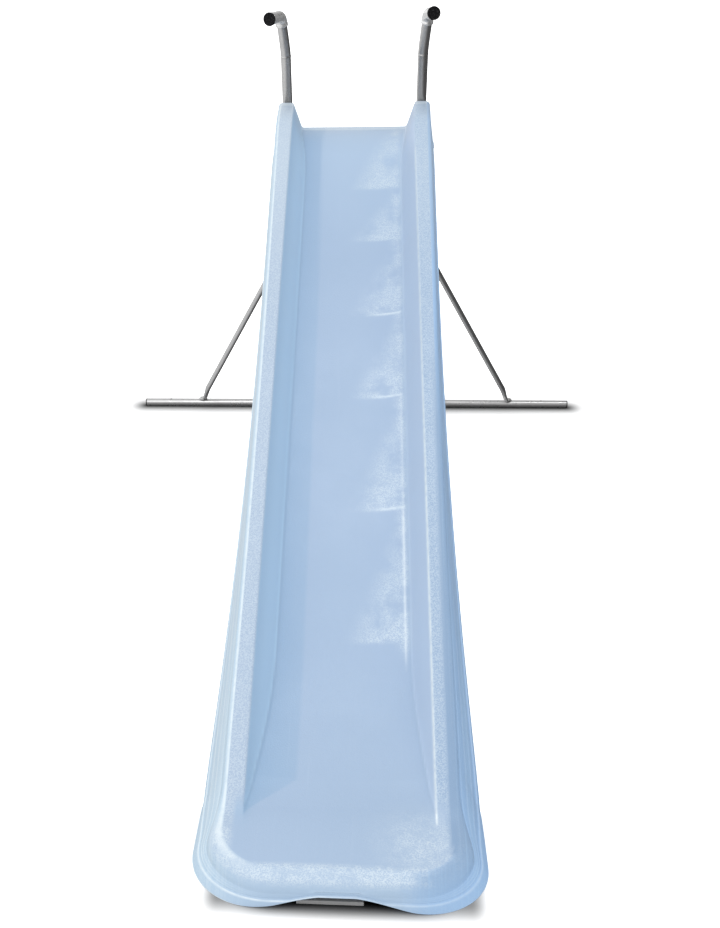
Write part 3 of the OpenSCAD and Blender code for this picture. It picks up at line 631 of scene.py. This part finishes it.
def chute_tones(n):
    """Pale blue plastic in plain tones, each laid on by one of the mesh's marks; several of them are painted
    light and shade.
    """
    right, steep, front, runout = (n.attribute(k) for k in ("right", "steep", "front", "runout"))
    high = n.ramp(n.axis(n.coords(), "Z"), 0.80, 1.15)    # the upper third of the run is in brighter light
    cloud = n.times(n.ramp(n.noise(2.2, 3, 0.5), 0.35, 0.65), 0.4)
    base = n.mix(cloud, srgb(168, 191, 218), srgb(173, 195, 222))
    base = n.mix(high, base, srgb(181, 204, 229))
    # painted light: the steep walls are laid on lighter to lift their shade
    base = n.mix(steep, base, n.mix(right, srgb(187, 218, 245), srgb(199, 219, 243)))
    # painted shade: the left wall darker, deepest near its top, and a darker strip just inside the rim
    base = n.mix(n.times(n.attribute("left_wall_shade"), n.less(steep)), base, srgb(152, 183, 214))
    base = n.mix(n.times(n.attribute("shade"), 0.45), base, srgb(150, 182, 212))
    # painted light and shade: the rim lighter on the left side, darker on the right
    rim_lit = n.mix(high, srgb(163, 185, 212), srgb(184, 203, 224))
    rim_shaded = n.mix(high, srgb(144, 173, 207), srgb(168, 192, 219))
    base = n.mix(n.attribute("rim"), base, n.mix(right, rim_lit, rim_shaded))
    # painted light and shade on the skirt: lighter on the left side, darker on the right; the front has its
    # own tone
    side_shaded = n.mix(high, srgb(153, 190, 231), srgb(166, 195, 226))
    side = n.mix(right, srgb(184, 211, 232), side_shaded)
    side = n.mix(front, side, srgb(176, 200, 225))
    base = n.mix(n.times(n.attribute("skirt"), n.less(n.times(runout, 0.7))), base, side)
    # painted shade on the right side of the roll
    return n.mix(n.attribute("right_roll_shade"), base, srgb(140, 169, 202))


def stippled(n, base, fine):
    """Whitish grains of the stippled surface painted as glints: painted highlights strongest on the rims, in
    the reflection patches and along the run-out's edge.
    """
    right, rim, skirt, front, runout, reflection_patch = (
        n.attribute(k) for k in ("right", "rim", "skirt", "front", "runout", "reflection_patch"))
    coarse = n.noise(210, 2, 0.6)
    glint_grain = n.most(n.ramp(fine, 0.47, 0.60), n.times(n.ramp(coarse, 0.5, 0.62), 0.75))
    cloud = n.ramp(n.noise(16, 4, 0.62), 0.30, 0.60)
    patch = n.ramp(n.noise(30, 3, 0.6), 0.34, 0.56, 0.45, 1.0)
    # glints painted on the lit left side of the skirt
    calm = n.times(skirt, n.less(n.most(n.times(right, 0.8), front)))
    zone = n.times(rim, 0.55)
    for other in (n.times(n.times(runout, patch), 0.85), n.times(reflection_patch, cloud), n.times(calm, 0.40)):
        zone = n.most(zone, other)
    return n.mix(n.times(zone, n.math("ADD", n.times(glint_grain, 0.66), 0.16)), base, srgb(224, 237, 245))


def lined(n, base):
    """Painted highlights along edges, faint scratches down the run and drawn lines along the sides, paler on
    the left as painted light.
    """
    ragged = n.ramp(n.noise(50, 3, 0.6), 0.3, 0.6, 0.6, 1.0)
    # painted highlights along the edges
    base = n.mix(n.times(n.attribute("edge"), ragged), base, srgb(240, 250, 255))
    scratch = n.ramp(n.noise(1.0, 4, 0.6, n.stretched(120, 2.4, 2.4)), 0.58, 0.8)
    base = n.mix(n.times(scratch, 0.10), base, srgb(200, 216, 236))
    # drawn lines along the sides, paler on the lit left side: painted light
    drawn = n.ramp(n.noise(1.0, 3, 0.6, n.stretched(170, 1.0, 1.0)), 0.45, 0.7)
    sideways = n.times(n.attribute("skirt"), n.less(n.attribute("front")))
    tone = n.mix(n.attribute("right"), srgb(222, 236, 246), srgb(170, 205, 238))
    return n.mix(n.times(n.times(drawn, sideways), 0.40), base, tone)


def chute_material():
    n = Nodes("moulded_blue")
    fine = n.noise(430, 2, 0.6, n.stretched(0.8, 1.0, 1.0))
    base = lined(n, stippled(n, chute_tones(n), fine))
    # metal parts mirror the chute as a neutral grey
    base = n.mix(n.times(n.ray("Glossy"), 0.85), base, (0.30, 0.30, 0.30))
    rough = n.ramp(n.noise(9, 3, 0.5), 0.3, 0.7, 0.30, 0.42)
    normal = n.bump(n.noise(230, 3, 0.55), 0.30, 0.0012)
    normal = n.bump(fine, 0.40, 0.0010, normal)
    n.set(Base_Color=base, Roughness=rough, Normal=normal, IOR=1.5)
    return n.mat


def steel_material(name, color, rough, tarnish=0.30, spangle=0.0, metallic=1.0, reflection_blots=0.0):
    """Zinc-coated steel: tarnish in clouds, spangle in crystals, and dark blots painted as a patterned
    reflection.
    """
    n = Nodes(name)
    cloud = n.ramp(n.noise(14, 4, 0.6), 0.35, 0.75)
    base = n.mix(n.times(cloud, tarnish), color, scaled(color, 0.70))
    crystals = n.new("ShaderNodeTexVoronoi", Scale=140, Vector=n.coords()).outputs["Color"]
    base = n.mix(n.times(n.ramp(crystals, 0.2, 0.8), spangle), base,
                 tuple(min(1, c) for c in scaled(color, 1.12)))
    # painted reflection: dark blots standing in for a patterned reflection
    dark_reflection = n.ramp(n.noise(26, 2, 0.5, distortion=1.5), 0.52, 0.62)
    base = n.mix(n.times(dark_reflection, reflection_blots), base, scaled(color, 0.2))
    uneven = n.ramp(n.noise(35, 3, 0.6), 0.3, 0.7, rough - 0.04, rough + 0.06)
    grain = n.noise(1.0, 3, 0.6, n.stretched(500, 500, 40))
    n.set(Base_Color=base, Roughness=uneven, Normal=n.bump(grain, 0.10, 0.0004), Metallic=metallic)
    return n.mat


def black_material(name, color, rough, gleam):
    """Black plastic with some dust and a fine pale grain."""
    n = Nodes(name)
    dust = n.ramp(n.noise(45, 4, 0.6), 0.45, 0.8)
    base = n.mix(n.times(dust, 0.25), color, scaled(color, 2.2, 0.01))
    base = n.mix(n.ramp(n.noise(260, 2, 0.6), 0.5, 0.66, 0.0, 0.8), base, scaled(color, 3, 0.02))
    uneven = n.ramp(n.noise(25, 3, 0.5), 0.3, 0.7, rough - 0.08, rough + 0.08)
    normal = n.bump(n.noise(700, 2, 0.5), 0.25, 0.0006)
    n.set(Base_Color=base, Roughness=uneven, Normal=normal, Specular_IOR_Level=gleam)
    return n.mat


mats = {
    "chute_plastic": chute_material(),
    "galvanised_tube": steel_material("galvanised_tube", (0.64, 0.64, 0.64), 0.30, spangle=0.4),
    "elbow_metal": steel_material("cast_elbow", (0.88, 0.88, 0.88), 0.16, tarnish=0.12,
                                  metallic=0.75, reflection_blots=0.5),
    "zinc_steel": steel_material("zinc_strip", (0.50, 0.50, 0.50), 0.40, tarnish=0.15,
                                 spangle=0.2, metallic=0.4),
    "bright_steel": steel_material("bright_zinc", (0.82, 0.82, 0.81), 0.22, tarnish=0.12),
    "step_steel": steel_material("step_steel", (0.64, 0.64, 0.65), 0.34, spangle=0.5),
    "tread_plastic": black_material("tread_black", (0.030, 0.030, 0.032), 0.62, gleam=0.35),
    "black_plastic": black_material("plug_black", (0.005, 0.005, 0.006), 0.55, gleam=0.10),
}
chute.data.materials.append(mats["chute_plastic"])
for rail in rails:
    rail.data.materials.append(mats["galvanised_tube"])
for elbow, cap in grips:
    elbow.data.materials.append(mats["elbow_metal"])
    cap.data.materials.append(mats["black_plastic"])

# steps, foot, deck strap, braces, spigots and nuts get a small bevel; tubes keep their edges
BEVELLED, BEVEL_WIDTH = ("step_", "foot_", "deck_", "brace_", "spigot_", "nut_"), 0.0006
slot_of = {s["node"]: s["material_slot"] for s in frame["record"]["subparts"]}
for name, obj in frame["nodes"].items():
    obj.data.materials.clear()
    obj.data.materials.append(mats[slot_of[name]])
    if name.startswith(BEVELLED):
        soften = obj.modifiers.new("edges", "BEVEL")
        soften.width = BEVEL_WIDTH
        soften.segments = 2
        soften.limit_method = "ANGLE"
        soften.angle_limit = math.radians(40)
        soften.harden_normals = True


# ---------------------------------------------------------------- stage
WHITE = 0.60          # floor tone at which the lit floor just reaches white
SHADE_GAMMA = 2.2     # shadow depths are given as they look and turned into light
BAR_END = 805         # half length of the ground bar, mm
FAR = 30000


def floor_piece(name, x_range, y_range, step, height, shade):
    """A grid of floor; each vertex carries how much of the sky reaches it."""
    xs, ys = (np.arange(lo, hi + step / 2, step) for lo, hi in (x_range, y_range))
    gx, gy = np.meshgrid(xs, ys, indexing="ij")
    ids = np.arange(gx.size).reshape(gx.shape)
    quads = np.stack([ids[:-1, :-1], ids[1:, :-1], ids[1:, 1:], ids[:-1, 1:]], axis=2).reshape(-1, 4)
    points = np.stack([gx.ravel(), gy.ravel(), np.full(gx.size, height)], axis=1)
    obj = add_mesh(name, points, quads.tolist())
    add_mark(obj, "open_sky", shade(gx, gy).ravel())
    return obj


def no_shade(x, y):
    return 1 + 0 * x


def lip_shade(x, y):
    """Soft dark patch under and in front of the exit lip."""
    away = np.abs(x - 12)
    sides = down(away, 255, 300) * (0.5 + 0.5 * down(away, 130, 230))
    depth = down(-y, 2676, 2746) * up(-y, 2400, 2520)
    return WHITE * (1 - 0.97 * sides * depth) ** SHADE_GAMMA


def bar_shade(x, y):
    """Contact shadow of the ground bar, fading out in front of and behind it."""
    away = np.hypot(np.maximum(np.abs(x) - BAR_END, 0), y)
    near = 1 - 0.75 * clamp(1 - away / 85, 0, 1) ** 1.9
    return np.minimum(1, WHITE * near ** SHADE_GAMMA + up(away, 60, 220))


def floor_material():
    """White to the camera, darker from the right to mirrors, plain light grey to all else."""
    n = Nodes("studio_white")
    n.tree.nodes.remove(n.bsdf)
    open_sky = n.attribute("open_sky")
    came_from = n.axis(n.new("ShaderNodeNewGeometry").outputs["Incoming"], "X")
    mirrored = n.times(n.ramp(came_from, -0.6, 0.6, 0.10, 0.78), n.ramp(open_sky, 0, 1, 0.45, 1.0))
    unseen = n.mix(n.ray("Glossy"), (0.80, 0.80, 0.80), mirrored)
    seen = n.mix(open_sky, (0.0, 0.0, 0.0), (2.1, 2.1, 2.1))
    diffuse = n.new("ShaderNodeBsdfDiffuse", Color=n.mix(n.ray("Camera"), unseen, seen))
    n.plug(diffuse.outputs["BSDF"], n.tree.nodes["Material Output"].inputs["Surface"])
    return n.mat


stage_floors = [floor_piece("studio_floor", (-FAR, FAR), (-FAR, FAR), FAR, 0, no_shade),
                floor_piece("studio_floor_front", (-420, 440), (-2900, -2400), 5, 0.1, lip_shade),
                floor_piece("studio_floor_rear", (-1030, 1030), (-225, 225), 5, 0.1, bar_shade)]
studio_white = floor_material()
for piece in stage_floors:
    piece.data.materials.append(studio_white)


# ---------------------------------------------------------------- light
def studio_world():
    """Mirrors see a bright left and a dark right; the rest is an even, slightly left-weighted light."""
    world = bpy.data.worlds.new("studio")
    scene.world = world
    world.use_nodes = True
    world.cycles.sampling_method = "NONE"
    nodes, link = world.node_tree.nodes, world.node_tree.links.new
    split = nodes.new("ShaderNodeSeparateXYZ")
    link(nodes.new("ShaderNodeTexCoord").outputs["Generated"], split.inputs[0])
    path = nodes.new("ShaderNodeLightPath")

    def across(interpolation, *ends):
        node = nodes.new("ShaderNodeMapRange")
        node.interpolation_type = interpolation
        link(split.outputs["X"], node.inputs["Value"])
        for key, end in zip(("From Min", "From Max", "To Min", "To Max"), ends):
            node.inputs[key].default_value = end
        return node.outputs["Result"]

    pick = nodes.new("ShaderNodeMix")
    link(path.outputs["Is Glossy Ray"], pick.inputs[0])
    link(across("LINEAR", -1.0, 1.0, 0.86, 0.98), pick.inputs[2])
    link(across("SMOOTHSTEP", -0.6, 0.6, 1.1, 0.12), pick.inputs[3])
    white = nodes.new("ShaderNodeMix")
    link(path.outputs["Is Camera Ray"], white.inputs[0])
    link(pick.outputs[0], white.inputs[2])
    white.inputs[3].default_value = 1.0
    sky = nodes["Background"]
    link(white.outputs[0], sky.inputs["Strength"])
    sky.inputs["Color"].default_value = (1, 1, 1, 1)


def area_light(name, place, target, width, length, power):
    light = bpy.data.lights.new(name, "AREA")
    light.energy = power
    light.shape = "RECTANGLE"
    light.size, light.size_y = width, length
    obj = bpy.data.objects.new(name, light)
    obj.location = place
    obj.rotation_euler = (Vector(target) - Vector(place)).to_track_quat("-Z", "Y").to_euler()
    obj.visible_camera = False
    scene.collection.objects.link(obj)
    return obj


studio_world()
area_light("key", (-0.9, -4.6, 4.4), (0, -1.4, 0.4), width=2.6, length=2.6, power=45)
overhead = area_light("overhead", (0.62, -1.2, 4.0), (0.2, -1.3, 0.5), width=0.8, length=3.4, power=30)
overhead.visible_diffuse = False    # it only adds gloss

# ---------------------------------------------------------------- camera
CAM_PLACE = (0.051, -4.767, 1.920)
CAM_PITCH, CAM_YAW, CAM_ROLL = math.radians(24.37), math.radians(-5.05), math.radians(-1.56)
FOCAL, SHIFT, SENSOR = 1327.0 / 928, 100.0 / 928, 36.0    # focal length and shift in picture heights

cam_data = bpy.data.cameras.new("cam")
cam = bpy.data.objects.new("cam", cam_data)
scene.collection.objects.link(cam)
scene.camera = cam
cam_data.sensor_fit = "VERTICAL"
cam_data.sensor_height = SENSOR
cam_data.lens = FOCAL * SENSOR
cam_data.shift_x = SHIFT
cam_data.clip_end = 100
ahead = Vector((math.sin(CAM_YAW), math.cos(CAM_YAW), 0))
level = Vector((math.cos(CAM_YAW), -math.sin(CAM_YAW), 0))
view = ahead * math.cos(CAM_PITCH) + Vector((0, 0, -math.sin(CAM_PITCH)))
above = ahead * math.sin(CAM_PITCH) + Vector((0, 0, math.cos(CAM_PITCH)))
cam_x = level * math.cos(CAM_ROLL) + above * math.sin(CAM_ROLL)
cam_y = above * math.cos(CAM_ROLL) - level * math.sin(CAM_ROLL)
turned = Matrix((cam_x, cam_y, -view)).transposed()
cam.matrix_world = Matrix.Translation(CAM_PLACE) @ turned.to_4x4()

scene.view_settings.view_transform = "Standard"
scene.view_settings.look = "None"
scene.cycles.use_denoising = True
